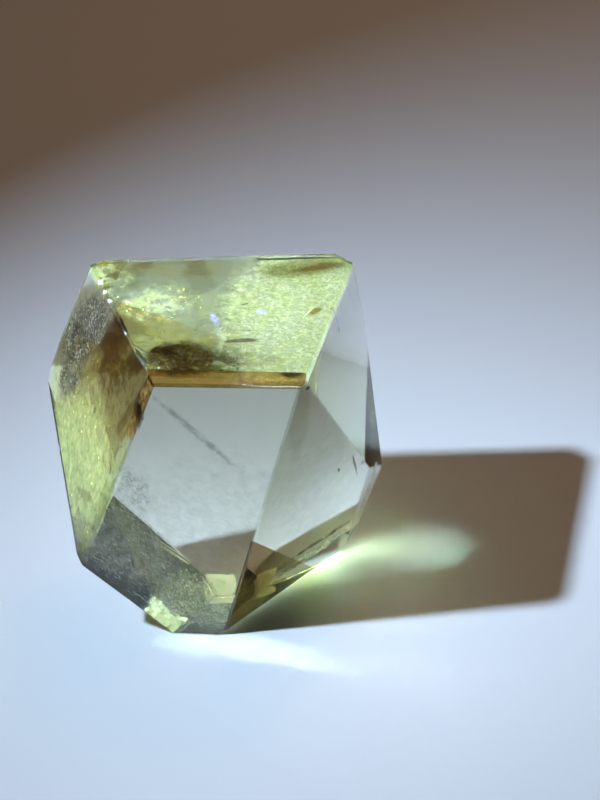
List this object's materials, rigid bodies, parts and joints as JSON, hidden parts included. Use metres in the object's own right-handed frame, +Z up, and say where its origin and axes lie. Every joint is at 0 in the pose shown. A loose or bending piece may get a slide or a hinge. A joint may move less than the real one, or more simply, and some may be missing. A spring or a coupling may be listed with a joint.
{
  "type": "citrine freeform",
  "caption": "Freestanding block of clear pale yellow citrine, ground to broad flat polished faces, for display on a table or shelf.",
  "frame": {"origin": "middle of the bounding box, on the surface that the stone stands on", "axes": "+Z up, +X to the right of the broad front face, -Y out of the broad front face"},
  "size_m": [0.06, 0.0334, 0.0601],
  "materials": {
    "clear_citrine": "polished flat faces, slightly scratched, with small chips on the edges and a rough strip at the lower right"
  },
  "bodies": {
    "root": {"citrine_freeform": "clear_citrine"}
  },
  "joints": []
}
